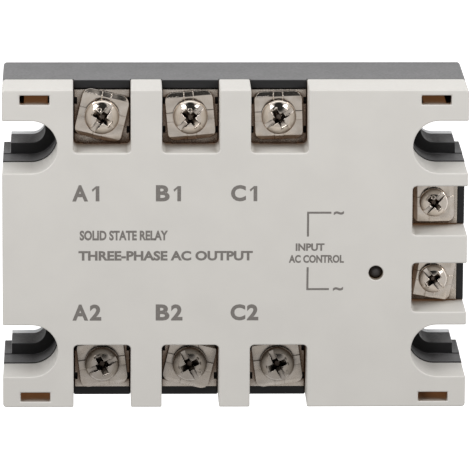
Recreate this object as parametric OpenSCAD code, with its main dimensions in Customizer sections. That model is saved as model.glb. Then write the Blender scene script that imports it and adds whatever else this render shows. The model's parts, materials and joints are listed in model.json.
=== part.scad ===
// Three-phase solid state relay.
// A two-part moulded case stands on an aluminium base plate. Six screw clamp terminals sit in
// notches along the two long sides, and two smaller ones in pockets at one end.
// The origin is under the centre of the mounting face. +Z points out of the cover face and
// +X towards the control terminals.

/* [Case] */
// Length of the case along X
case_l = 105; // [104:0.5:108]
// Width of the case along Y
case_w = 73.5; // [73:0.5:76]
// Height from the mounting face to the cover face
case_h = 32.5; // [32:0.5:35]
// Height of the seam between the base body and the cover
seam_z = 20; // [20:0.1:20.4]
// Radius of the upright corners
corner_r = 0.8; // [0.5:0.1:2]
// Thickness of the cover's outer wall
cover_wall = 2; // [1.6:0.1:2.2]
// Thickness of the cover's face
roof_t = 2.4; // [2:0.1:2.6]
// Thickness of the base body's outer wall
base_wall = 2.6; // [2.4:0.1:2.8]
// Thickness of the walls around pockets and recesses
pocket_wall = 1.6; // [1.2:0.1:1.7]

/* [Base plate] */
// Thickness of the aluminium plate
plate_t = 3; // [2.5:0.1:3.5]
// Distance from the case's outline to the plate's edge
plate_inset = 1.7; // [1.5:0.1:1.9]
// Height by which the plate stands proud of the moulding
plate_proud = 0.3; // [0.1:0.1:0.5]

/* [Mounting slots] */
// Distance between the slot centres along X
slot_pitch_x = 92; // [91:0.5:93]
// Distance between the slot centres along Y
slot_pitch_y = 47.2; // [46.8:0.1:48]
// Width of the open slots in the plate and flanges
slot_w = 6.2; // [5:0.1:6.4]
// Width of the recess over each slot
recess_w = 12; // [11.6:0.1:12.2]
// Height of the flange that the fixing screw clamps
flange_z = 12.8; // [11:0.1:14]

/* [Power terminals] */
// Distance between phases along X
phase_pitch = 20; // [19.8:0.1:20.2]
// Place of the middle phase along X
phase_shift = -10; // [-10.5:0.1:-9.5]
// Distance from the case edge to the screw axis
power_setback = 7.95; // [7.8:0.05:8.1]
// Width of each notch
power_pocket_w = 13; // [12.9:0.1:13.2]
// Depth of each notch from the case edge
power_pocket_d = 14.5; // [14.4:0.1:14.8]
// Width of the lip at the notch's open side
power_lip = 2; // [1.5:0.1:2]

/* [Control terminals] */
// Distance from the middle of the case to each control terminal along Y
input_offset = 8.9; // [8.8:0.05:9]
// Distance from the case end to the screw axis
input_setback = 7.1; // [7:0.05:7.2]
// Width of each pocket
input_pocket_w = 11.3; // [11.2:0.1:11.5]
// Depth of each pocket from the case end
input_pocket_d = 12.5; // [12.4:0.1:12.7]
// Width of the lip at the pocket's open side
input_lip = 1.6; // [1.2:0.1:1.6]

/* [Screws and clamps] */
// Diameter of the power screws' heads
power_head_d = 7.9; // [7:0.1:8]
// Diameter of the control screws' heads
input_head_d = 6.5; // [6:0.1:6.6]
// Side of the power clamps across the wire
power_clamp_x = 10.8; // [10:0.1:10.9]
// Side of the power clamps along the wire
power_clamp_y = 11; // [10:0.1:11]
// Side of the square control clamps
input_clamp = 9.3; // [8:0.1:9.4]
// Thickness of the clamps with their raised cross
clamp_t = 1.2; // [1:0.1:1.3]

/* [Indicator] */
// Place of the indicator along X
led_x = 31.9; // [31:0.1:32.5]
// Place of the indicator along Y
led_y = -5.5; // [-6:0.1:-5]
// Diameter of the hole in the cover's face
led_hole_d = 3.3; // [3.2:0.1:3.6]

/* [Hidden] */
$fn = 64;

// Each power terminal: column, side of the case, turn of its clamp, turn of its screw slot
POWER = [
    [-1, 1, -13.5, 54], [0, 1, 5, 44], [1, 1, 2, 32],
    [-1, -1, 7, 24], [0, -1, -13.5, 117], [1, -1, 8, 115]
];
// Each control terminal: side of the middle, turn of its clamp, turn of its screw slot
INPUT = [[1, 1, 47], [-1, -10, 129]];

cut = 1;              // how far a cutting shape runs past the surface
gap = 0.05;           // clearance between fixed pieces
pocket_r = 1;         // inner corners of the terminal pockets
recess_step = 0.5;    // how much each recess narrows at the seam, and again at the plate
power_y = case_w / 2 - power_setback;
input_x = case_l / 2 - input_setback;

// Heights of the terminal stack, from the busbar up
bar_t = 1;
bar_top = seam_z + 1.6;
bar_z = bar_top - bar_t;
lip_z = seam_z + 1;
clamp_z = bar_top + gap;
head_z = clamp_z + clamp_t + gap;

// Captive nuts: across flats, height, thread bore
power_nut = [7, 3.2, 2];
input_nut = [6, 2.8, 1.75];
thread_play = 0.05;
bar_hole_play = 0.45;
power_screw_l = 10;
input_screw_l = 8;
well_play = 1;        // room under each screw's point

// Snap latches at the case corners
latch_x = 45.15;
latch_window = [6.7, 2.1];
latch_edge = 1.3;     // wall left outside the window
latch_leg_x = 44.9;
latch_leg = [5.3, 1.2];
latch_hook = [1.5, 1.9];
latch_tip_z = 15.4;

// Inside the case
seal_t = 0.3;
seal_end = 0.5;       // distance from the bead's ends to the recesses
potting_z = 10.5;
board = [86.2, 31, 1.6];
board_x = -4.9;
board_z = 22.4;
board_top = board_z + board[2];
rest_w = 2;
substrate = [16, 30, 1];
chip = [9, 9, 0.5];
chip_y = 6;
strap_w = 8;
leg_y = 18.2;         // inner face of the busbar legs from the middle
foot_end_y = 3;
input_strap_w = 5;
input_strap_l = 9;
lead_r = 0.4;
lead_xy = [6, 12];    // gate leads from each phase's centre

cream = [0.83, 0.82, 0.79];
charcoal = [0.24, 0.24, 0.25];
aluminium = [0.80, 0.81, 0.82];
nickel = [0.78, 0.75, 0.70];
resin = [0.13, 0.13, 0.14];

function power_x(i) = phase_shift + POWER[i][0] * phase_pitch;
function phase_x(i) = phase_shift + (i - 1) * phase_pitch;

// ---- Places ----

// Puts a terminal's shapes on a power screw's axis, with +Y pointing out of the case
module at_power(i) {
    translate([power_x(i), POWER[i][1] * power_y, 0])
        rotate(POWER[i][1] > 0 ? 0 : 180) children();
}

// Puts a terminal's shapes on a control screw's axis, with +Y pointing out of the case
module at_input(i) {
    translate([input_x, INPUT[i][0] * input_offset, 0]) rotate(-90) children();
}

module each_power() for (i = [0:5]) at_power(i) children();
module each_input() for (i = [0:1]) at_input(i) children();
module each_phase() for (i = [0:2]) translate([phase_x(i), 0, 0]) children();

// Repeats a shape in all four quarters
module quarters() for (a = [0, 1], b = [0, 1]) mirror([a, 0, 0]) mirror([0, b, 0]) children();

// ---- Outlines ----

module rounded_rect(size, r) {
    square([size[0] - 2 * r, size[1]], center = true);
    square([size[0], size[1] - 2 * r], center = true);
    for (x = [-1, 1], y = [-1, 1])
        translate([x * (size[0] / 2 - r), y * (size[1] / 2 - r)]) circle(r);
}

module case_2d(inset = 0) {
    rounded_rect([case_l - 2 * inset, case_w - 2 * inset], corner_r);
}

// An open slot from a screw hole at a mounting centre out through the case end
module end_slot_2d(w) {
    quarters() translate([slot_pitch_x / 2, slot_pitch_y / 2]) {
        circle(d = w);
        translate([0, -w / 2]) square([case_l / 2, w]);
    }
}

// A terminal pocket, open towards +Y; grow makes the outline of the wall around it
module pocket_2d(w, depth, setback, grow = 0) {
    half = w / 2 + grow;
    inner = setback - depth - grow;
    r = pocket_r + grow;
    translate([-half, inner + r]) square([2 * half, depth + 2 * grow - r + cut]);
    translate([r - half, inner]) square([2 * (half - r), 2 * r]);
    for (s = [-1, 1]) translate([s * (half - r), inner + r]) circle(r);
}

module power_pocket_2d(grow = 0) pocket_2d(power_pocket_w, power_pocket_d, power_setback, grow);
module input_pocket_2d(grow = 0) pocket_2d(input_pocket_w, input_pocket_d, input_setback, grow);

// Every pocket and recess that opens the cover's face
module openings_2d(grow = 0) {
    each_power() power_pocket_2d(grow);
    each_input() input_pocket_2d(grow);
    end_slot_2d(recess_w + 2 * grow);
}

// The block under a terminal, drawn short of the walls beside it by the given play
module pedestal_2d(w, depth, setback, play) {
    translate([play - w / 2, setback - depth + gap]) square([w - 2 * play, depth - gap]);
}

module pedestals_2d(play) {
    each_power() pedestal_2d(power_pocket_w, power_pocket_d, power_setback, play);
    each_input() pedestal_2d(input_pocket_w, input_pocket_d, input_setback, play);
}

// The hollow inside the base body
module cavity_2d(play = 0) {
    difference() {
        case_2d(base_wall + play);
        end_slot_2d(recess_w + 2 * (pocket_wall + play));
        offset_block(play) pedestals_2d(0);
    }
}

// Pushes straight-sided blocks out by a small play without rounding them
module offset_block(play) {
    for (x = [-1, 1], y = [-1, 1]) translate([x * play, y * play]) children();
}

// ---- Case ----

module prism(z0, z1) translate([0, 0, z0]) linear_extrude(z1 - z0) children();

module latch_leg_shape() {
    inner = case_w / 2 - latch_edge - latch_window[1] - latch_leg[1];
    translate([latch_leg_x - latch_leg[0] / 2, inner, latch_tip_z]) {
        cube([latch_leg[0], latch_leg[1], case_h - latch_tip_z]);
        cube([latch_leg[0], latch_leg[1] + latch_hook[0], latch_hook[1]]);
    }
}

module latch_pocket() {
    play = 0.2;
    outer = case_w / 2 - latch_edge - latch_window[1] + latch_hook[0] + play;
    translate([latch_leg_x - latch_leg[0] / 2 - play, case_w / 2 - base_wall - cut,
               latch_tip_z - play])
        cube([latch_leg[0] + 2 * play, outer - case_w / 2 + base_wall + cut,
              latch_hook[1] + 2 * play]);
}

module latch_window_2d() {
    translate([latch_x - latch_window[0] / 2, case_w / 2 - latch_edge - latch_window[1]])
        square(latch_window);
}

// Room for a busbar strap under the pocket's inner wall
module strap_passage(w, depth, setback) {
    play = 0.2;
    translate([-w / 2 - play, setback - depth - pocket_wall - cut, seam_z - cut])
        cube([w + 2 * play, pocket_wall + cut + gap, bar_top + gap - seam_z + cut]);
}

module cover() {
    color(cream) difference() {
        union() {
            difference() {
                prism(seam_z, case_h) case_2d();
                prism(seam_z - cut, case_h - roof_t) case_2d(cover_wall);
            }
            prism(seam_z, case_h) intersection() {
                case_2d();
                openings_2d(pocket_wall);
            }
            quarters() latch_leg_shape();
        }
        prism(seam_z - cut, case_h + cut) openings_2d();
        prism(seam_z - cut, case_h + cut) quarters() latch_window_2d();
        each_power() strap_passage(strap_w, power_pocket_d, power_setback);
        each_input() strap_passage(input_strap_w, input_pocket_d, input_setback);
        translate([led_x, led_y, seam_z]) cylinder(d = led_hole_d, h = case_h);
    }
}

// Hexagonal seat and clearance well under a terminal
module nut_seat(nut, screw_l) {
    play = 0.1;
    translate([0, 0, bar_z - nut[1] - gap])
        cylinder(r = (nut[0] / 2 + play) / cos(30), h = nut[1] + cut, $fn = 6);
    translate([0, 0, head_z - screw_l - well_play])
        cylinder(r = nut[2] + bar_hole_play, h = screw_l);
}

module lip(w, setback, lip_w) {
    play = 0.1;
    translate([play - w / 2, setback - lip_w, plate_t]) cube([w - 2 * play, lip_w, lip_z - plate_t]);
}

// Ribs that the control board rests on
module board_rests() {
    left = -case_l / 2 + base_wall;
    right = input_x + input_setback - input_pocket_d;
    inner = board_x + board[0] / 2 - rest_w;
    for (s = [-1, 1]) {
        translate([left - cut / 2, s * board[1] / 3 - rest_w / 2, plate_t])
            cube([board_x - board[0] / 2 + rest_w - left, rest_w, board_z - plate_t]);
        translate([inner, s * (input_offset - input_pocket_w / 2 + rest_w) - rest_w / 2, plate_t]) {
            cube([rest_w - gap, rest_w, board_z - plate_t]);
            cube([right + cut - inner, rest_w, seam_z - plate_t - gap]);
        }
    }
}

module seal_2d() {
    difference() {
        case_2d(plate_inset);
        case_2d(base_wall);
        end_slot_2d(recess_w + 2 * seal_end);
    }
}

module base_body() {
    color(charcoal) difference() {
        union() {
            difference() {
                prism(plate_proud, seam_z) case_2d();
                prism(plate_t, seam_z + cut) cavity_2d();
            }
            prism(plate_t, bar_z) pedestals_2d(2 * gap);
            each_power() lip(power_pocket_w, power_setback, power_lip);
            each_input() lip(input_pocket_w, input_setback, input_lip);
            board_rests();
        }
        prism(-cut, plate_t) case_2d(plate_inset - gap);
        prism(plate_t - gap, plate_t + seal_t) seal_2d();
        prism(-cut, bar_z + cut) difference() {
            end_slot_2d(recess_w - 2 * recess_step);
            case_2d(plate_inset);
        }
        prism(flange_z, seam_z + cut) end_slot_2d(recess_w - recess_step);
        prism(-cut, seam_z + cut) end_slot_2d(slot_w);
        each_power() nut_seat(power_nut, power_screw_l);
        each_input() nut_seat(input_nut, input_screw_l);
        quarters() latch_pocket();
    }
}

module base_plate() {
    color(aluminium) difference() {
        prism(0, plate_t) case_2d(plate_inset);
        prism(-cut, plate_t + cut) end_slot_2d(slot_w);
    }
}

module plate_seal() {
    color("dimgray") prism(plate_t, plate_t + seal_t) seal_2d();
}

// ---- Power circuit ----

module ceramic_substrates() {
    color("white") each_phase() translate([-substrate[0] / 2, -substrate[1] / 2, plate_t])
        cube(substrate);
}

module thyristor_chips() {
    color("slategray") each_phase() for (s = [-1, 1])
        translate([-chip[0] / 2, s * chip_y - chip[1] / 2, plate_t + substrate[2]]) cube(chip);
}

foot_z = plate_t + substrate[2] + chip[2];

// One strap: the terminal pad, the leg down inside the case and the foot on its chip
module power_bar() {
    pad_out = power_setback - power_lip - gap;
    pad_in = power_setback - power_pocket_d + gap;
    pad_w = power_pocket_w - 0.5;
    leg_in = leg_y - power_y;
    difference() {
        union() {
            translate([-pad_w / 2, pad_in, bar_z]) cube([pad_w, pad_out - pad_in, bar_t]);
            translate([-strap_w / 2, leg_in, bar_z]) cube([strap_w, pad_in - leg_in + cut, bar_t]);
            translate([-strap_w / 2, leg_in, foot_z]) cube([strap_w, bar_t, bar_top - foot_z]);
            translate([-strap_w / 2, foot_end_y - power_y, foot_z])
                cube([strap_w, leg_y - foot_end_y + bar_t, bar_t]);
        }
        translate([0, 0, bar_z - cut])
            cylinder(r = power_nut[2] + bar_hole_play, h = bar_t + 2 * cut);
        edge_bites(pad_w);
    }
}

// Small notches in the sides of a power pad, level with the clamp's corners
module edge_bites(pad_w) {
    bite = [0.6, 1.5];
    bite_y = 3.35;
    for (x = [-1, 1], y = [-1, 1])
        translate([x * pad_w / 2, y * bite_y, bar_z + bar_t / 2])
            cube([2 * bite[0], bite[1], bar_t + cut], center = true);
}

module input_bar() {
    pad_out = input_setback - input_lip - gap;
    pad_in = input_setback - input_pocket_d + gap;
    pad_w = input_pocket_w - 0.5;
    pin = 1;
    difference() {
        union() {
            translate([-pad_w / 2, pad_in, bar_z]) cube([pad_w, pad_out - pad_in, bar_t]);
            translate([-input_strap_w / 2, -input_strap_l, bar_z])
                cube([input_strap_w, input_strap_l + pad_in + cut, bar_t]);
            translate([-pin / 2, -input_strap_l, bar_z]) cube([pin, pin, board_top + pin - bar_z]);
        }
        translate([0, 0, bar_z - cut])
            cylinder(r = input_nut[2] + bar_hole_play, h = bar_t + 2 * cut);
    }
}

module busbar(i) color(nickel) at_power(i) power_bar();
module input_busbar(i) color(nickel) at_input(i) input_bar();

module nut(size) {
    translate([0, 0, bar_z - size[1]]) difference() {
        cylinder(r = size[0] / 2 / cos(30), h = size[1] - gap, $fn = 6);
        translate([0, 0, -cut]) cylinder(r = size[2], h = size[1] + 2 * cut);
    }
}

module power_nuts() color("silver") each_power() nut(power_nut);
module input_nuts() color("silver") each_input() nut(input_nut);

module gate_leads() {
    color("goldenrod") each_phase() for (s = [-1, 1])
        translate([lead_xy[0], s * lead_xy[1], plate_t + substrate[2]])
            cylinder(r = lead_r, h = board_top + 0.6 - plate_t - substrate[2]);
}

// Everything that stands in the resin, a little enlarged
module resin_cutouts() {
    each_phase() {
        translate([-substrate[0] / 2 - gap, -substrate[1] / 2 - gap, plate_t - cut])
            cube([substrate[0] + 2 * gap, substrate[1] + 2 * gap, substrate[2] + cut + gap]);
        for (s = [-1, 1]) {
            translate([-chip[0] / 2 - gap, s * chip_y - chip[1] / 2 - gap, plate_t])
                cube([chip[0] + 2 * gap, chip[1] + 2 * gap, substrate[2] + chip[2] + gap]);
            translate([lead_xy[0], s * lead_xy[1], plate_t]) cylinder(r = lead_r + gap, h = board_z);
        }
    }
    each_power() {
        translate([-strap_w / 2 - gap, foot_end_y - power_y - gap, foot_z - gap])
            cube([strap_w + 2 * gap, leg_y - foot_end_y + bar_t + 2 * gap, bar_t + 2 * gap]);
        translate([-strap_w / 2 - gap, leg_y - power_y - gap, foot_z - gap])
            cube([strap_w + 2 * gap, bar_t + 2 * gap, potting_z]);
    }
}

module potting() {
    color(resin) difference() {
        prism(plate_t + gap, potting_z) cavity_2d(gap);
        resin_cutouts();
        for (x = [-1, 1], y = [-1, 1]) translate([x * gap, y * gap, 0]) board_rests();
    }
}

// ---- Control circuit ----

module control_board() {
    hole = 1.3;
    color("darkgreen") difference() {
        translate([board_x - board[0] / 2, -board[1] / 2, board_z]) cube(board);
        each_phase() for (s = [-1, 1])
            translate([lead_xy[0], s * lead_xy[1], board_z - cut])
                cylinder(d = hole, h = board[2] + 2 * cut);
        each_input() translate([-hole / 2, -input_strap_l - (hole - 1) / 2, board_z - cut])
            cube([hole, hole, board[2] + 2 * cut]);
    }
}

// A through-board package: body of the given size on two rows of legs
module package(size, legs, pitch) {
    leg = [0.6, 0.3];
    lift = 0.5;
    translate([-size[0] / 2, -size[1] / 2, board_top + lift]) cube(size);
    for (k = [0:legs - 1], s = [-1, 1])
        translate([(k - (legs - 1) / 2) * pitch - leg[0] / 2, s * size[1] / 2 - leg[1] / 2, board_top])
            cube([leg[0], leg[1], lift + size[2] / 2]);
}

// An axial part lying on the board along X
module axial(d, l, span) {
    wire_d = 0.7;
    lift = d / 2 + 0.2;
    translate([-l / 2, 0, board_top + lift]) rotate([0, 90, 0]) cylinder(d = d, h = l);
    translate([-span / 2, 0, board_top + lift]) rotate([0, 90, 0]) cylinder(d = wire_d, h = span);
    for (s = [-1, 1]) translate([s * span / 2, 0, board_top]) cylinder(d = wire_d, h = lift + wire_d / 2);
}

module optocouplers() {
    color("dimgray") each_phase() package([8.8, 6.4, 3.4], 3, 2.54);
}

module bridge_rectifier() color("black") translate([22, 8, 0]) package([8.5, 6.4, 3.2], 2, 5.1);

module input_capacitor() {
    size = [13, 6, 10];
    color("gold") translate([20, 3, board_z - size[2]]) cube(size);
}

module input_resistors() {
    color("tan") for (k = [0, 1]) translate([27.5, -12 + 25 * k, 0]) axial(3.2, 9, 12.5);
}

module snubber_capacitors() {
    size = [13, 5, 9];
    color("firebrick") each_phase() translate([-size[0] / 2, -size[1] / 2, board_z - size[2]])
        cube(size);
}

module snubber_resistors() color("tan") each_phase() translate([-2.5, 7.5, 0]) axial(3.2, 8, 11.5);
module gate_resistors() {
    color("skyblue") each_phase() for (k = [0, 1]) translate([-2.5, -7 - 4 * k, 0]) axial(2.3, 6, 9.5);
}

module indicator_led() {
    r = 1.5;
    flange_r = 1.9;
    flange_h = 0.8;
    lift = 2;
    top = case_h - 1;
    color("darkred") translate([led_x, led_y, 0]) {
        translate([0, 0, board_top + lift]) cylinder(r = flange_r, h = flange_h);
        translate([0, 0, board_top + lift]) cylinder(r = r, h = top - r - board_top - lift);
        translate([0, 0, top - r]) intersection() {
            sphere(r);
            cylinder(r = 2 * r, h = 2 * r);
        }
        for (s = [-1, 1]) translate([s * 1.27 - 0.25, -0.25, board_top]) cube([0.5, 0.5, lift + 0.1]);
    }
}

// ---- Clamps and screws ----

// Side view of a clamp plate: edges bent down, hollow under the middle
module clamp_profile(half, t) {
    bevel = [0.95, 0.75];
    rib = 1.5;
    hollow = 0.3;
    polygon([
        [-half, 0], [-half, t - bevel[1]], [bevel[0] - half, t],
        [half - bevel[0], t], [half, t - bevel[1]], [half, 0],
        [half - rib, 0], [half - rib - hollow, hollow], [rib + hollow - half, hollow], [rib - half, 0]
    ]);
}

module clamp_slab(size, t) {
    translate([-size[0] / 2, 0, 0]) rotate([90, 0, 90]) linear_extrude(size[0])
        clamp_profile(size[1] / 2, t);
}

// A clamp plate with a raised cross, rounded corners and a screw hole
module clamp_plate(size, r, hole_r) {
    band_w = 2.1;
    band_h = 0.2;
    difference() {
        union() {
            intersection() {
                clamp_slab(size, clamp_t - band_h);
                prism(-cut, clamp_t + cut) rounded_rect(size, r);
            }
            intersection() {
                clamp_slab(size, clamp_t);
                prism(-cut, clamp_t + cut) {
                    square([band_w, size[1]], center = true);
                    square([size[0], band_w], center = true);
                }
            }
        }
        translate([0, 0, -cut]) cylinder(r = hole_r, h = clamp_t + 2 * cut);
    }
}

// Outline of a pan head: a tight rounded rim that flattens into a shallow crown
function dome(r, side, rise, steps = 12, fullness = 0.74) =
    [for (k = [0:steps]) let (a = 90 * k / steps)
        [r * pow(cos(a), fullness), side + rise * pow(sin(a), fullness)]];

// Cross recess: two crossed wedges, narrower at the bottom
module cross_recess(reach, depth, w) {
    foot = 0.12;
    for (a = [0, 90]) rotate([90, 0, a]) translate([0, 0, -w / 2]) linear_extrude(w)
        polygon([[-reach, cut], [-reach, 0], [-reach * foot, -depth],
                 [reach * foot, -depth], [reach, 0], [reach, cut]]);
}

// A combination head screw: cross recess and a slot from edge to edge
module terminal_screw(head_d, head_h, thread_r, length) {
    side = 0.7;
    slot = [1.15, 0.95];
    recess = [0.31 * head_d, 0.75 * head_h, 0.175 * head_d];
    chamfer = 0.5;
    difference() {
        rotate_extrude() polygon(concat([[0, 0], [head_d / 2 - 0.3, 0], [head_d / 2, 0.3]],
                                        dome(head_d / 2, side, head_h - side)));
        translate([-head_d, -slot[0] / 2, head_h - slot[1]]) cube([2 * head_d, slot[0], slot[1] + cut]);
        translate([0, 0, head_h]) cross_recess(recess[0], recess[1], recess[2]);
    }
    translate([0, 0, chamfer - length]) cylinder(r = thread_r, h = length - chamfer);
    translate([0, 0, -length]) cylinder(r1 = thread_r - chamfer, r2 = thread_r, h = chamfer);
}

module power_clamp(i) {
    color(nickel) translate([power_x(i), POWER[i][1] * power_y, clamp_z]) rotate(POWER[i][2])
        clamp_plate([power_clamp_x, power_clamp_y], 1.9, power_nut[2] + 0.35);
}

module power_screw(i) {
    color(nickel) translate([power_x(i), POWER[i][1] * power_y, head_z]) rotate(POWER[i][3])
        terminal_screw(power_head_d, 2.8, power_nut[2] - thread_play, power_screw_l);
}

module input_clamp_plate(i) {
    color(nickel) translate([input_x, INPUT[i][0] * input_offset, clamp_z]) rotate(INPUT[i][1] + 90)
        clamp_plate([input_clamp, input_clamp], 1.3, input_nut[2] + 0.35);
}

module input_screw(i) {
    color(nickel) translate([input_x, INPUT[i][0] * input_offset, head_z]) rotate(INPUT[i][2])
        terminal_screw(input_head_d, 2.4, input_nut[2] - thread_play, input_screw_l);
}

// ---- The pieces ----

cover();
base_body();
base_plate();
plate_seal();
potting();
ceramic_substrates();
thyristor_chips();
gate_leads();
power_nuts();
input_nuts();
busbar(0);  // busbar_l1
busbar(1);  // busbar_l2
busbar(2);  // busbar_l3
busbar(3);  // busbar_t1
busbar(4);  // busbar_t2
busbar(5);  // busbar_t3
input_busbar(0);  // busbar_in1
input_busbar(1);  // busbar_in2
control_board();
optocouplers();
bridge_rectifier();
input_capacitor();
input_resistors();
snubber_capacitors();
snubber_resistors();
gate_resistors();
indicator_led();
power_clamp(0);  // clamp_l1
power_clamp(1);  // clamp_l2
power_clamp(2);  // clamp_l3
power_clamp(3);  // clamp_t1
power_clamp(4);  // clamp_t2
power_clamp(5);  // clamp_t3
power_screw(0);  // screw_l1
power_screw(1);  // screw_l2
power_screw(2);  // screw_l3
power_screw(3);  // screw_t1
power_screw(4);  // screw_t2
power_screw(5);  // screw_t3
input_clamp_plate(0);  // clamp_in1
input_clamp_plate(1);  // clamp_in2
input_screw(0);  // screw_in1
input_screw(1);  // screw_in2
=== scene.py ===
import json
import math

import bmesh
import bpy
from mathutils import Euler, Matrix, Vector
from mathutils.bvhtree import BVHTree

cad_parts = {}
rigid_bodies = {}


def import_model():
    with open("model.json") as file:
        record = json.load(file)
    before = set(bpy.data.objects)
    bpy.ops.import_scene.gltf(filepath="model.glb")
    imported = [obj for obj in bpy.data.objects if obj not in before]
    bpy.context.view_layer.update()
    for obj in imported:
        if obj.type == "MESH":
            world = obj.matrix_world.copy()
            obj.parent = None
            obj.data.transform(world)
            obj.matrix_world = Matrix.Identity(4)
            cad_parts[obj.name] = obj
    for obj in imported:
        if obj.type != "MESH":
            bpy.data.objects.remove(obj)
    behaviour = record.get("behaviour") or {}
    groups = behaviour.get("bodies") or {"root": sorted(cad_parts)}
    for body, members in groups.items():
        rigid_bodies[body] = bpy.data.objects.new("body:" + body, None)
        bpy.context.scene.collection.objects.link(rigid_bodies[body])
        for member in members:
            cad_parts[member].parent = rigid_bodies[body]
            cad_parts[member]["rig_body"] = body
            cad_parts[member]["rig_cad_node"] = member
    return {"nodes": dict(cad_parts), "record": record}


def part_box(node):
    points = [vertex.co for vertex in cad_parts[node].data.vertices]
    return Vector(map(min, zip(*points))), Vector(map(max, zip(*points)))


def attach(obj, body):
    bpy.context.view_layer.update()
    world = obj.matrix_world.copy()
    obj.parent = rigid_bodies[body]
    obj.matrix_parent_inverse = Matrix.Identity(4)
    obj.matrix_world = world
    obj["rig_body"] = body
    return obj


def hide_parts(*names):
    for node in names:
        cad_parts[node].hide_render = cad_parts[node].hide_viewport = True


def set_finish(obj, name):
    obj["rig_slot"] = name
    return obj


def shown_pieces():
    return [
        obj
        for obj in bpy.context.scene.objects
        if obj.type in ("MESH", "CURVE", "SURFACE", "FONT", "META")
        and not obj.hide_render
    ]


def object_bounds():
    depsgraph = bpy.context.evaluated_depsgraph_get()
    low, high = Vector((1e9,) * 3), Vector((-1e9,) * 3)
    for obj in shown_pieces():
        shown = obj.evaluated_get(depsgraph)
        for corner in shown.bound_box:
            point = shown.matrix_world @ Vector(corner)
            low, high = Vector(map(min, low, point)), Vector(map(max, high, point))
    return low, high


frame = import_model()
cad_low, cad_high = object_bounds()

MM = 0.001
LINE = ("l1", "l2", "l3")
LOAD = ("t1", "t2", "t3")
INPUT = ("in1", "in2")
SLOTS = {part["node"]: part["material_slot"] for part in frame["record"]["subparts"]}

# The top face of the cover, on which the legends are printed
FACE_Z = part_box("cover")[1].z
CASE_MIDDLE = (cad_low + cad_high) / 2

SEAM = 0.002 * MM  # vertices of a CAD mesh nearer than this are one vertex
SHARP_EDGE = 30  # degrees between two faces from which their edge is rounded


# ---- Meshes ----

def centre(node):
    """The middle of a CAD node's box."""
    low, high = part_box(node)
    return (low + high) / 2


def add_piece(name, mesh, body):
    """A new object that rides on a CAD body."""
    piece = bpy.data.objects.new(name, mesh)
    bpy.context.scene.collection.objects.link(piece)
    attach(piece, body)
    return piece


def clean_copy(node, name):
    """A CAD node's mesh with the seams between its faces joined, as a new mesh."""
    mesh = frame["nodes"][node].data.copy()
    mesh.name = name
    shape = bmesh.new()
    shape.from_mesh(mesh)
    bmesh.ops.remove_doubles(shape, verts=shape.verts, dist=SEAM)
    shape.to_mesh(mesh)
    shape.free()
    if "custom_normal" in mesh.attributes:
        mesh.attributes.remove(mesh.attributes["custom_normal"])
    mesh.materials.clear()
    return mesh


def soften(piece, radius, segments):
    """Rounds the sharp edges of a piece, as moulding or tumbling does."""
    piece.data.shade_smooth()
    bevel = piece.modifiers.new("rounded_edges", "BEVEL")
    bevel.width = radius
    bevel.segments = segments
    bevel.limit_method = "ANGLE"
    bevel.angle_limit = math.radians(SHARP_EDGE)
    bevel.use_clamp_overlap = False
    bevel.loop_slide = False
    bevel.harden_normals = True
    even = piece.modifiers.new("flat_faces", "WEIGHTED_NORMAL")
    even.keep_sharp = True
    even.weight = 100


def refined(node, name, radius, segments=3):
    """A piece that stands for a CAD node, with its edges rounded."""
    piece = add_piece(name, clean_copy(node, name), frame["nodes"][node]["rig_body"])
    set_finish(piece, SLOTS[node])
    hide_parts(node)
    soften(piece, radius, segments)


# ---- Materials ----

def set_span(node, start, end, low, high):
    """Makes a map range node run from low to high while its input runs from start to end."""
    node.inputs["From Min"].default_value = start
    node.inputs["From Max"].default_value = end
    node.inputs["To Min"].default_value = low
    node.inputs["To Max"].default_value = high


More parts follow.
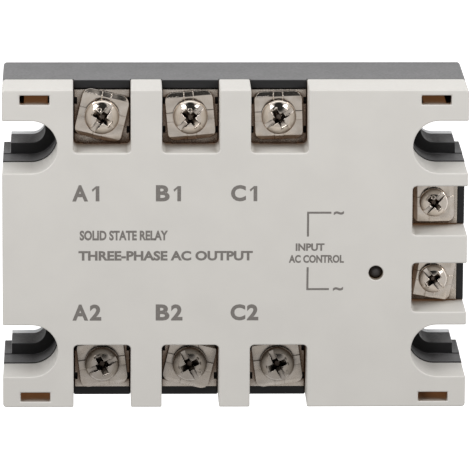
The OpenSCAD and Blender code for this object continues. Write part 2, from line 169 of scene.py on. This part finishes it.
class Surface:
    """A Principled material whose colour, roughness and relief come from procedural nodes."""

    def __init__(self, name, **sockets):
        self.material = bpy.data.materials.new(name)
        self.material.use_nodes = True
        self.tree = self.material.node_tree
        self.shader = self.tree.nodes["Principled BSDF"]
        for socket, value in sockets.items():
            self.shader.inputs[socket.replace("_", " ")].default_value = value
        place = self.tree.nodes.new("ShaderNodeTexCoord")
        self.place = place.outputs["Object"]
        self.facing = place.outputs["Normal"]
        self.relief = None

    def link(self, output, target):
        self.tree.links.new(output, target)

    def noise(self, size, detail=3, stretch=(1, 1, 1)):
        """Noise whose features are about size metres wide, drawn out along the axes by stretch."""
        scale = self.tree.nodes.new("ShaderNodeMapping")
        scale.inputs["Scale"].default_value = [1 / (size * along) for along in stretch]
        texture = self.tree.nodes.new("ShaderNodeTexNoise")
        texture.inputs["Scale"].default_value = 1
        texture.inputs["Detail"].default_value = detail
        self.link(self.place, scale.inputs["Vector"])
        self.link(scale.outputs["Vector"], texture.inputs["Vector"])
        return texture.outputs["Fac"]

    def upright(self):
        """0 on level faces and 1 on upright ones."""
        parts = self.tree.nodes.new("ShaderNodeSeparateXYZ")
        tilt = self.tree.nodes.new("ShaderNodeMath")
        tilt.operation = "ABSOLUTE"
        self.link(self.facing, parts.inputs["Vector"])
        self.link(parts.outputs["Z"], tilt.inputs[0])
        return self.spread(tilt.outputs["Value"], 1, 0, 0.2, 0.9)

    def openness(self, reach):
        """How much of the space above the surface is free of other surfaces within reach metres."""
        shade = self.tree.nodes.new("ShaderNodeAmbientOcclusion")
        shade.samples = 16
        shade.inputs["Distance"].default_value = reach
        return shade.outputs["AO"]

    def spread(self, pattern, low, high, start=0.3, end=0.7):
        """A pattern's values from start to end, stretched to run from low to high."""
        span = self.tree.nodes.new("ShaderNodeMapRange")
        set_span(span, start, end, low, high)
        self.link(pattern, span.inputs["Value"])
        return span.outputs["Result"]

    def colours(self, pattern, first, second, start=0.35, end=0.65):
        """The base colour runs from first to second with a pattern."""
        ramp = self.tree.nodes.new("ShaderNodeValToRGB")
        low, high = ramp.color_ramp.elements
        low.position, high.position = start, end
        low.color, high.color = (*first, 1), (*second, 1)
        self.link(pattern, ramp.inputs["Fac"])
        self.link(ramp.outputs["Color"], self.shader.inputs["Base Color"])
        return self

    def shade(self, pattern, tone, start, end):
        """Multiplies the base colour by a tone where a pattern is under start, less up to end."""
        ramp = self.tree.nodes.new("ShaderNodeValToRGB")
        low, high = ramp.color_ramp.elements
        low.position, high.position = start, end
        low.color, high.color = (*tone, 1), (1, 1, 1, 1)
        self.link(pattern, ramp.inputs["Fac"])
        blend = self.tree.nodes.new("ShaderNodeMix")
        blend.data_type = "RGBA"
        blend.blend_type = "MULTIPLY"
        blend.inputs["Factor"].default_value = 1
        self.link(self.shader.inputs["Base Color"].links[0].from_socket, blend.inputs["A"])
        self.link(ramp.outputs["Color"], blend.inputs["B"])
        self.link(blend.outputs["Result"], self.shader.inputs["Base Color"])
        return self

    def glow(self, pattern, tone, start, end):
        """Painted glow that stands in for light seeping through a wall: emission full where a
        pattern is under start, gone past end.
        """
        self.shader.inputs["Emission Color"].default_value = (*tone, 1)
        self.link(self.spread(pattern, 1, 0, start, end), self.shader.inputs["Emission Strength"])
        return self

    def roughness(self, pattern, low, high):
        self.link(self.spread(pattern, low, high), self.shader.inputs["Roughness"])
        return self

    def bumps(self, pattern, height):
        """Adds relief of a height in metres to what is there already."""
        bump = self.tree.nodes.new("ShaderNodeBump")
        bump.inputs["Strength"].default_value = 1
        bump.inputs["Distance"].default_value = height
        self.link(pattern, bump.inputs["Height"])
        if self.relief is not None:
            self.link(self.relief, bump.inputs["Normal"])
        self.relief = bump.outputs["Normal"]
        self.link(self.relief, self.shader.inputs["Normal"])
        return self


def cover_plastic():
    skin = Surface("cover_plastic", IOR=1.5)
    skin.colours(skin.noise(9 * MM, 4), (0.585, 0.568, 0.54), (0.605, 0.588, 0.558))
    # Painted shade: the colour darkens to a warm brown where little of the space within 5 mm is
    # open, in notches, recesses and latch windows.
    skin.shade(skin.openness(5 * MM), (0.38, 0.30, 0.23), 0.15, 0.8)
    # Painted glow: a faint brown emission in nearly closed crevices such as the latch windows,
    # standing in for light through the plastic.
    skin.glow(skin.openness(12 * MM), (0.068, 0.030, 0.012), 0.06, 0.2)
    skin.roughness(skin.noise(0.8 * MM, 4), 0.42, 0.56)
    skin.bumps(skin.noise(0.16 * MM, 2), 0.006 * MM)
    return skin.bumps(skin.noise(18 * MM, 1), 0.02 * MM).material


def base_plastic():
    """Charcoal plastic, dark on level faces and painted paler on upright side walls as a painted
    sheen, with painted shade in slots and recesses.
    """
    skin = Surface("base_plastic", IOR=1.5, Specular_IOR_Level=0.3)
    # Painted sheen: upright faces are painted paler than level ones, for the light they catch at a
    # low angle.
    skin.colours(skin.upright(), (0.015, 0.015, 0.016), (0.142, 0.141, 0.144), 0, 1)
    skin.shade(skin.noise(6 * MM, 5), (0.9, 0.9, 0.9), 0.35, 0.65)
    # Painted shade: the colour darkens where little of the space within 12 mm is open, in the slots
    # and recesses.
    skin.shade(skin.openness(12 * MM), (0.2, 0.19, 0.18), 0.3, 0.58)
    skin.roughness(skin.noise(0.6 * MM, 4), 0.42, 0.56)
    skin.bumps(skin.noise(0.18 * MM, 2), 0.007 * MM)
    return skin.bumps(skin.noise(12 * MM, 1), 0.05 * MM).material


# Painted shade: the dark warm tone that nickel takes in crevices and recesses where shade falls.
CREVICE_SHADE = (0.045, 0.030, 0.022)


def nickel(name, low, high, tone, wave, reach=3 * MM, crevice_shade=CREVICE_SHADE, hidden=0.4):
    """Nickel plate with a slight orange peel, faint scratches and warm tarnish, and painted shade
    in crevices.

    low and high bound the roughness, tone scales the colour and wave is the height of the plate's
    slow unevenness. Where less than the share hidden of the space within reach is open, the colour
    is multiplied by the dark tone crevice_shade as painted shade.
    """
    plate = Surface(name, Metallic=1.0)
    warm = [tone * share for share in (0.80, 0.715, 0.63)]
    pale = [tone * share for share in (0.88, 0.805, 0.735)]
    plate.colours(plate.noise(2.5 * MM, 3), warm, pale)
    # Painted shade: the colour darkens where little of the space within reach is open, in the
    # screws' recesses and between parts.
    plate.shade(plate.openness(reach), crevice_shade, hidden, hidden + 0.3)
    plate.roughness(plate.noise(0.35 * MM, 5), low, high)
    plate.bumps(plate.noise(0.9 * MM, 2), 0.004 * MM)
    plate.bumps(plate.noise(5 * MM, 1), wave)
    return plate.bumps(plate.noise(0.05 * MM, 2, (1, 14, 1)), 0.0006 * MM).material


def milled_aluminium():
    plate = Surface("plate_aluminium", Metallic=1.0)
    plate.colours(plate.noise(5 * MM, 4), (0.72, 0.73, 0.74), (0.81, 0.815, 0.82))
    plate.roughness(plate.noise(0.5 * MM, 4, (12, 1, 1)), 0.28, 0.46)
    return plate.bumps(plate.noise(0.12 * MM, 3, (40, 1, 1)), 0.004 * MM).material


def legend_ink():
    ink = Surface("legend_ink", IOR=1.5)
    ink.colours(ink.noise(0.35 * MM, 4), (0.150, 0.138, 0.128), (0.190, 0.176, 0.164))
    return ink.roughness(ink.noise(0.4 * MM, 3), 0.5, 0.7).material


def dull(name, first, second, grain, shine=(0.4, 0.6), relief=0.004, **sockets):
    """A plain moulded, coated or plated finish of two close tones, with a grain in metres."""
    skin = Surface(name, **sockets)
    skin.colours(skin.noise(grain, 4), first, second)
    skin.roughness(skin.noise(grain / 3, 3), *shine)
    return skin.bumps(skin.noise(grain / 8, 2), relief * MM).material


def make_finishes():
    """A material for each slot of the record, for rougher nickel with painted shade at the load
    terminals and for the printed legends.
    """
    return {
        "cover_plastic": cover_plastic(),
        "base_plastic": base_plastic(),
        "plate_aluminium": milled_aluminium(),
        "nickel_busbar": nickel("nickel_busbar", 0.20, 0.32, 0.86, 0.1 * MM,
                                crevice_shade=(0.2, 0.15, 0.12)),
        "nickel_clamp": nickel("nickel_clamp", 0.11, 0.20, 1.03, 0.3 * MM, 1.6 * MM, hidden=0.3),
        "nickel_screw": nickel("nickel_screw", 0.07, 0.14, 1.04, 0.03 * MM, hidden=0.43),
        # Painted shade: the load terminals' clamps and screws are a rougher copy of the nickel,
        # made darker for the shade that falls on them.
        "tarnished_nickel_clamp": nickel("tarnished_nickel_clamp", 0.20, 0.30, 0.76, 0.3 * MM),
        "tarnished_nickel_screw": nickel("tarnished_nickel_screw", 0.16, 0.26, 0.60, 0.03 * MM,
                                         hidden=0.46),
        "legend_ink": legend_ink(),
        "sealant": dull("sealant", (0.22, 0.22, 0.22), (0.30, 0.30, 0.29), 2 * MM),
        "resin": dull("resin", (0.008, 0.008, 0.009), (0.016, 0.015, 0.016), 5 * MM, (0.08, 0.2)),
        "ceramic": dull("ceramic", (0.74, 0.73, 0.69), (0.82, 0.81, 0.78), 1 * MM),
        "silicon": dull("silicon", (0.20, 0.21, 0.24), (0.30, 0.31, 0.34), 1 * MM, (0.15, 0.3),
                        Metallic=1.0),
        "brass_wire": dull("brass_wire", (0.72, 0.50, 0.20), (0.80, 0.60, 0.30), 1 * MM,
                           (0.2, 0.35), Metallic=1.0),
        "steel_nut": dull("steel_nut", (0.52, 0.51, 0.48), (0.66, 0.65, 0.62), 1 * MM,
                          (0.25, 0.45), Metallic=1.0),
        "board_laminate": dull("board_laminate", (0.012, 0.11, 0.035), (0.02, 0.16, 0.055), 1 * MM,
                               (0.2, 0.4)),
        "component_black": dull("component_black", (0.014, 0.014, 0.014), (0.024, 0.024, 0.025),
                                1 * MM),
        "capacitor_case": dull("capacitor_case", (0.55, 0.34, 0.03), (0.66, 0.44, 0.06), 3 * MM,
                               (0.25, 0.4)),
        "resistor_body": dull("resistor_body", (0.42, 0.31, 0.18), (0.52, 0.40, 0.25), 1 * MM),
        "led_lens": dull("led_lens", (0.038, 0.034, 0.034), (0.055, 0.048, 0.047), 1.5 * MM,
                         (0.45, 0.6), 0.002),
    }


# ---- Pieces of the relay ----

def make_case():
    """The cover, base body and plate, with the small radii that moulding and milling leave."""
    refined("cover", "cover_moulding", 0.30 * MM)
    refined("base_body", "base_moulding", 0.18 * MM, 2)
    refined("base_plate", "heat_plate", 0.15 * MM, 2)
    refined("indicator_led", "indicator_lamp", 0.08 * MM, 2)


def make_terminal(key):
    """A terminal's busbar, clamp plate and screw, each with its punched or turned edges rounded."""
    refined("busbar_" + key, "busbar_pad_" + key, 0.10 * MM, 2)
    refined("clamp_" + key, "clamp_plate_" + key, 0.09 * MM)
    refined("screw_" + key, "terminal_screw_" + key, 0.09 * MM)


def surface_below(node, spot):
    """Height and normal of a CAD node's top surface under a point."""
    mesh = frame["nodes"][node].data
    tree = BVHTree.FromPolygons([v.co for v in mesh.vertices], [p.vertices for p in mesh.polygons])
    hit, normal, _, _ = tree.ray_cast(Vector((spot.x, spot.y, 1)), Vector((0, 0, -1)))
    return hit, normal


def around(count):
    """Directions evenly round a circle, as pairs of a cosine and a sine."""
    turns = [2 * math.pi * step / count for step in range(count)]
    return [(math.cos(turn), math.sin(turn)) for turn in turns]


def ring_mesh(name, radius, wire, rounds=32, sides=12):
    """A torus about the origin, of a radius and with a round wire."""
    shape = bmesh.new()
    loops = []
    for x, y in around(rounds):
        reach = [(radius + wire * out, wire * up) for out, up in around(sides)]
        loops.append([shape.verts.new((x * out, y * out, up)) for out, up in reach])
    for near, far in zip(loops, loops[1:] + loops[:1]):
        for side in range(sides):
            after = (side + 1) % sides
            shape.faces.new((near[side], far[side], far[after], near[after]))
    mesh = bpy.data.meshes.new(name)
    shape.normal_update()
    shape.to_mesh(mesh)
    shape.free()
    return mesh


PUNCH_RADIUS = 0.42 * MM
PUNCH_WIRE = 0.10 * MM


def punch_mark(key, angle, reach):
    """A raised ring that the punch leaves on a head, angle degrees from +X and reach mm out."""
    turn = math.radians(angle)
    out = reach * MM * Vector((math.cos(turn), math.sin(turn), 0))
    place, normal = surface_below("screw_" + key, centre("screw_" + key) + out)
    mesh = ring_mesh("punch_mark_" + key, PUNCH_RADIUS, PUNCH_WIRE)
    mesh.transform(normal.to_track_quat("Z", "Y").to_matrix().to_4x4())
    mesh.transform(Matrix.Translation(place))
    mesh.shade_smooth()
    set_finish(add_piece("punch_mark_" + key, mesh, "screw_" + key), SLOTS["screw_" + key])


def make_punch_marks():
    """The screws whose heads show a mark, with its direction and its distance from the middle."""
    punch_mark("l1", 106, 2.0)
    punch_mark("l2", 94, 1.85)
    punch_mark("t1", 52, 1.3)
    punch_mark("t2", -31, 2.7)
    punch_mark("t3", -38, 2.8)
    punch_mark("in1", 99, 1.5)


# ---- Legends ----

INK = 0.02 * MM  # thickness of the print
STROKE_GAIN = 0.038  # how far the font's strokes are fattened, as a share of its size


def lettering(name, words, middle, width, height):
    """Printed words that fill a width and height in millimetres about a place on the face."""
    text = bpy.data.curves.new(name, "FONT")
    text.body = words
    text.size = 1
    text.offset = STROKE_GAIN
    text.extrude = 0.5
    text.resolution_u = 4
    source = bpy.data.objects.new(name, text)
    bpy.context.scene.collection.objects.link(source)
    bpy.context.view_layer.update()
    final = source.evaluated_get(bpy.context.evaluated_depsgraph_get())
    mesh = bpy.data.meshes.new_from_object(final)
    bpy.data.objects.remove(source)
    low = [min(v.co[axis] for v in mesh.vertices) for axis in range(3)]
    high = [max(v.co[axis] for v in mesh.vertices) for axis in range(3)]
    sizes = (width * MM, height * MM, INK)
    for vertex in mesh.vertices:
        share = [(vertex.co[axis] - low[axis]) / (high[axis] - low[axis]) for axis in range(3)]
        vertex.co = (middle[0] * MM + (share[0] - 0.5) * sizes[0],
                     middle[1] * MM + (share[1] - 0.5) * sizes[1],
                     FACE_Z + share[2] * sizes[2])
    mesh.materials.clear()
    add_piece("legend_" + name, mesh, "case")


def printed_shape(name, outline):
    """A flat shape of ink with an outline given in millimetres on the face."""
    shape = bmesh.new()
    face = shape.faces.new([shape.verts.new((x * MM, y * MM, FACE_Z)) for x, y in outline])
    raised = bmesh.ops.extrude_face_region(shape, geom=[face])
    tops = [item for item in raised["geom"] if isinstance(item, bmesh.types.BMVert)]
    bmesh.ops.translate(shape, verts=tops, vec=(0, 0, INK))
    bmesh.ops.recalc_face_normals(shape, faces=shape.faces)
    mesh = bpy.data.meshes.new(name)
    shape.to_mesh(mesh)
    shape.free()
    add_piece("legend_" + name, mesh, "case")


def ruled_line(name, start, corner, end, width=0.46):
    """A printed line that runs along Y from its start to a corner, and along X to its end."""
    half = width / 2
    turn = half if start[1] > corner[1] else -half
    printed_shape(name, [
        (start[0] - half, start[1]), (corner[0] - half, corner[1] - turn), (end[0], end[1] - turn),
        (end[0], end[1] + turn), (corner[0] + half, corner[1] + turn), (start[0] + half, start[1])])


def figure_one(name, right, middle, width, height=3.5, stem=0.82):
    """A printed 1 with a slanted flag, which ends at its right edge."""
    left, foot, top = right - width, middle - height / 2, middle + height / 2
    inner = right - stem
    flag = 0.24 * height
    printed_shape(name, [
        (inner, foot), (right, foot), (right, top), (inner + 0.1 * stem, top), (left, top - flag),
        (left + 0.2, top - flag - 0.45), (inner, top - 0.7 * flag)])


def terminal_marks(column, letter, width, shift):
    """The marks of one phase's two terminals, their middles shift millimetres from its screws.

    gap and tight are the spaces between the letter and the figure, and one and two are the
    figures' widths.
    """
    line_y, load_y = 13.06, -14.58
    capital = 3.75
    gap, one = 0.85, 1.7
    tight, two = 0.35, 2.6
    name = letter.lower()
    left = centre("screw_l" + column).x / MM + shift - width / 2
    span = width - one - gap
    lettering(name + "1_letter", letter, (left + span / 2, line_y), span, capital)
    figure_one(name + "1_figure", left + width, line_y - 0.1, one)
    lettering(name + "2_letter", letter, (left + span / 2, load_y), span, capital)
    lettering(name + "2_figure", "2", (left + span + tight + two / 2, load_y), two, capital)


def make_legends():
    """Plain terminal marks, the kind of device and the two sides' use."""
    terminal_marks("1", "A", 6.1, -3.65)
    terminal_marks("2", "B", 5.65, -5.05)
    terminal_marks("3", "C", 5.9, -8.0)
    lettering("kind", "SOLID STATE RELAY", (-25.1, 3.3), 19.9, 2.3)
    lettering("output", "THREE-PHASE AC OUTPUT", (-15.65, -1.4), 39.35, 2.25)
    lettering("input", "INPUT", (16.96, 0.55), 6.5, 1.75)
    lettering("control", "AC CONTROL", (18.39, -2.18), 12.45, 1.85)
    lettering("wave_1", "~", (23.4, 8.45), 2.3, 0.95)
    lettering("wave_2", "~", (23.35, -9.15), 2.3, 0.95)
    ruled_line("bracket_1", (16.45, 3.0), (16.45, 8.53), (21.7, 8.53))
    ruled_line("bracket_2", (16.45, -4.1), (16.4, -9.2), (21.3, -9.2))


# ---- Finishes, stage, light and camera ----

def finish_name(piece):
    """Which finish a piece shows: ink, its record slot, or at a load terminal a rougher copy
    darkened as painted shade.
    """
    if piece.name.startswith("legend_"):
        return "legend_ink"
    slot = piece.get("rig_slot") or SLOTS[piece["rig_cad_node"]]
    # Painted shade: load terminals take the darker copy of the nickel.
    if slot in ("nickel_clamp", "nickel_screw") and piece.name.endswith(LOAD):
        return "tarnished_" + slot
    return slot


def paint(finishes):
    """Every shown piece gets its finish over all its faces."""
    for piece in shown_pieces():
        piece.data.materials.clear()
        piece.data.materials.append(finishes[finish_name(piece)])
        for face in piece.data.polygons:
            face.material_index = 0


FLOOR_SIZE = 6  # metres
PAPER_Z = -0.05 * MM
WHITE_Z = -0.1 * MM
BOUNCE = 0.14  # light of the paper's own, for the walls and recesses that face it


def flat_sheet(name, height):
    """A level square of floor that isn't part of the relay."""
    bpy.ops.mesh.primitive_plane_add(size=FLOOR_SIZE, location=(0, 0, height))
    sheet = bpy.context.object
    sheet.name = name
    return sheet


def make_floor():
    """A pale paper floor that bounces light, and the even white that the camera sees instead."""
    paper = flat_sheet("floor_paper", PAPER_Z)
    skin = Surface("floor_paper", Roughness=0.9, Emission_Strength=BOUNCE)
    skin.shader.inputs["Emission Color"].default_value = (1, 1, 1, 1)
    skin.colours(skin.noise(50 * MM, 2), (0.78, 0.78, 0.78), (0.82, 0.82, 0.82))
    paper.data.materials.append(skin.material)
    paper.visible_camera = False
    white = flat_sheet("floor_white", WHITE_Z)
    glow = Surface("floor_white", Roughness=1.0, Emission_Strength=1.0)
    glow.shader.inputs["Emission Color"].default_value = (1, 1, 1, 1)
    white.data.materials.append(glow.material)
    for seen_by in ("diffuse", "glossy", "transmission", "volume_scatter", "shadow"):
        setattr(white, "visible_" + seen_by, False)


BOX_ASIDE, BOX_BEHIND, BOX_ABOVE = 0.27, 0.25, 0.27  # metres from the origin to each softbox
BOX_SIZE = 0.26  # metres along a softbox's edge
BOX_POWER = 1.13  # watts
SKY_TINT = (1.0, 0.985, 0.965, 1)
SKY_BRIGHT, SKY_DARK = 0.525, 0.02
OVAL_LEAN = 41  # degrees from the zenith to the dark oval's middle
OVAL_REACH = (23, 48)  # degrees from its middle to its edge, along X and along its lean
OVAL_FADE = (0.75, 1.15)  # shares of its reach between which dark turns to bright
NO_LIMIT = 1000  # so wide a reach that the third axis doesn't bound the oval


def softbox(name, place):
    """A square soft light that faces the relay."""
    light = bpy.data.lights.new(name, "AREA")
    light.shape = "SQUARE"
    light.size = BOX_SIZE
    light.energy = BOX_POWER
    lamp = bpy.data.objects.new(name, light)
    bpy.context.scene.collection.objects.link(lamp)
    lamp.location = place
    aim = CASE_MIDDLE - lamp.location
    lamp.rotation_euler = aim.to_track_quat("-Z", "Y").to_euler()


def make_sky(world):
    """A sky of one brightness but for a dark oval, which leans from the zenith towards +Y."""
    tree = world.node_tree
    place = tree.nodes.new("ShaderNodeTexCoord")
    oval = tree.nodes.new("ShaderNodeMapping")
    oval.vector_type = "TEXTURE"
    oval.inputs["Rotation"].default_value = (math.radians(-OVAL_LEAN), 0, 0)
    half_widths = [math.sin(math.radians(angle)) for angle in OVAL_REACH]
    oval.inputs["Scale"].default_value = (*half_widths, NO_LIMIT)
    away = tree.nodes.new("ShaderNodeVectorMath")
    away.operation = "LENGTH"
    span = tree.nodes.new("ShaderNodeMapRange")
    span.interpolation_type = "SMOOTHSTEP"
    set_span(span, *OVAL_FADE, SKY_DARK, SKY_BRIGHT)
    tree.links.new(place.outputs["Generated"], oval.inputs["Vector"])
    tree.links.new(oval.outputs["Vector"], away.inputs[0])
    tree.links.new(away.outputs["Value"], span.inputs["Value"])
    tree.links.new(span.outputs["Result"], tree.nodes["Background"].inputs["Strength"])
    tree.nodes["Background"].inputs["Color"].default_value = SKY_TINT


def make_light():
    """A bright room that is dark above the line terminals, and a softbox on each side of them."""
    world = bpy.data.worlds.new("studio")
    bpy.context.scene.world = world
    world.use_nodes = True
    make_sky(world)
    softbox("softbox_left", (-BOX_ASIDE, BOX_BEHIND, BOX_ABOVE))
    softbox("softbox_right", (BOX_ASIDE, BOX_BEHIND, BOX_ABOVE))
    view = bpy.context.scene.view_settings
    view.view_transform = "Standard"
    view.look = "None"


VIEW_TURNS = (-13.104, -1.513, 0.275)  # degrees about X, Y and Z from straight above
VIEW_DISTANCE = 1.2441  # metres
VIEW_OFFSET = (0.43 * MM, -0.39 * MM, 0)  # from the case's middle to the middle of the picture
LENS = 416.7  # focal length, in millimetres as the sensor is
SENSOR = 36


def make_camera():
    """A long lens above the relay, a little to the line terminals' side."""
    data = bpy.data.cameras.new("camera")
    data.lens = LENS
    data.sensor_width = SENSOR
    data.clip_start, data.clip_end = 0.05, 20
    camera = bpy.data.objects.new("camera", data)
    bpy.context.scene.collection.objects.link(camera)
    camera.rotation_euler = Euler([math.radians(turn) for turn in VIEW_TURNS])
    back = camera.rotation_euler.to_matrix() @ Vector((0, 0, 1))
    camera.location = CASE_MIDDLE + Vector(VIEW_OFFSET) + back * VIEW_DISTANCE
    bpy.context.scene.camera = camera


make_case()
for terminal in LINE + LOAD + INPUT:
    make_terminal(terminal)
make_punch_marks()
make_legends()
paint(make_finishes())
make_floor()
make_light()
make_camera()
